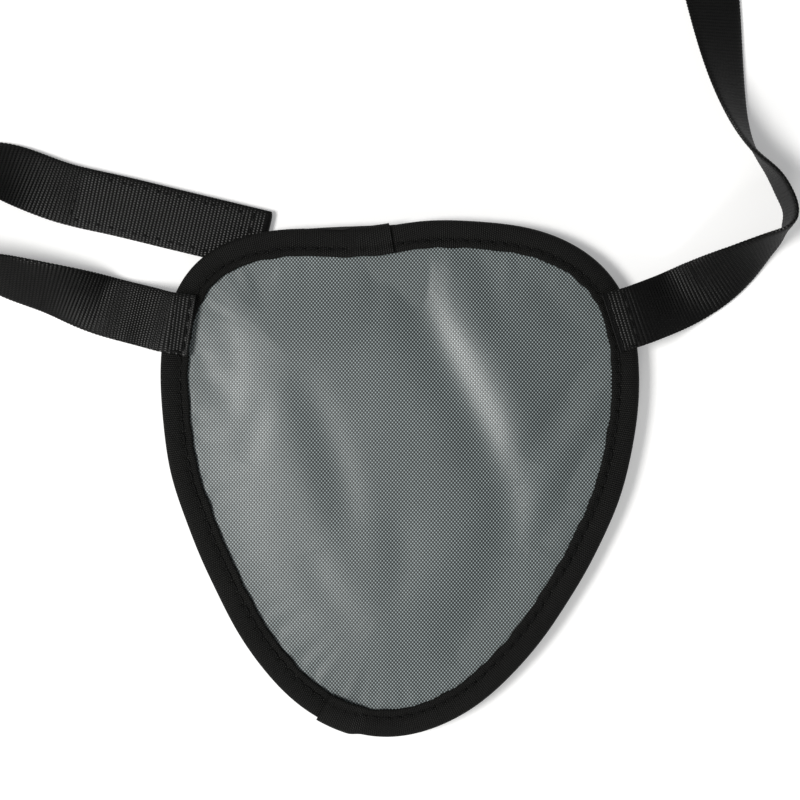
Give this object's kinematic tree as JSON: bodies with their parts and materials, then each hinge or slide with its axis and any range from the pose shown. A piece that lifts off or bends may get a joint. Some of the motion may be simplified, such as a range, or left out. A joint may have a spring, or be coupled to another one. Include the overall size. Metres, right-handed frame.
{
  "type": "eye patch",
  "caption": "Padded shield-shaped eye patch with a coated woven face, a stitched tape edge and flat webbing straps that roll on edge where they turn.",
  "frame": {"origin": "middle of the panel's skin side, on the surface that it lies on", "axes": "+X to the right across the patch seen from its outer side, +Y towards the brow edge, +Z outwards from the skin side"},
  "size_m": [0.1502, 0.1797, 0.0102],
  "materials": {
    "face_fabric": "blue-grey coated plain weave with a soft sheen",
    "core": "black light-blocking sheet",
    "foam": "grey open-cell foam",
    "lining": "black soft brushed cloth",
    "binding": "black ribbed binding tape",
    "webbing": "black ribbed webbing with a slight sheen",
    "thread": "black sewing thread",
    "loop_pile": "black loop pile",
    "hook_tape": "black hook tape",
    "elastic": "black elastic band"
  },
  "bodies": {
    "panel": {"face_fabric": "face_fabric", "blackout_core": "core", "foam_pad": "foam", "lining_fabric": "lining", "binding_left": "binding", "binding_right": "binding", "binding_stitches": "thread", "binding_bobbin_stitches": "thread", "left_strap": "webbing", "left_seam_stitches": "thread", "right_strap_tab": "webbing", "right_seam_stitches": "thread"},
    "left_tail": {"left_strap_tail": "webbing", "left_hem_stitches": "thread", "loop_pad": "loop_pile", "loop_pad_stitches": "thread"},
    "right_near": {"right_strap": "webbing"},
    "right_end": {"right_strap_far": "webbing", "strap_hank": "webbing", "hank_band": "elastic", "hook_pad": "hook_tape", "hook_pad_stitches": "thread"}
  },
  "joints": [
    {"name": "left_tail_swing", "type": "hinge", "parent": "panel", "child": "left_tail", "pos_m": [-0.08405, 0.04761, 0], "axis": [0, 0, 1], "range_deg": [0, 80]},
    {"name": "right_strap_fold", "type": "hinge", "parent": "panel", "child": "right_near", "pos_m": [0.0392, 0.02719, 0.00595], "axis": [0.3007, -0.9537, 0], "range_deg": [0, 150]},
    {"name": "right_end_swing", "type": "hinge", "parent": "right_near", "child": "right_end", "pos_m": [0.06499, 0.04359, 0], "axis": [0, 0, 1], "range_deg": [-60, 15]}
  ]
}
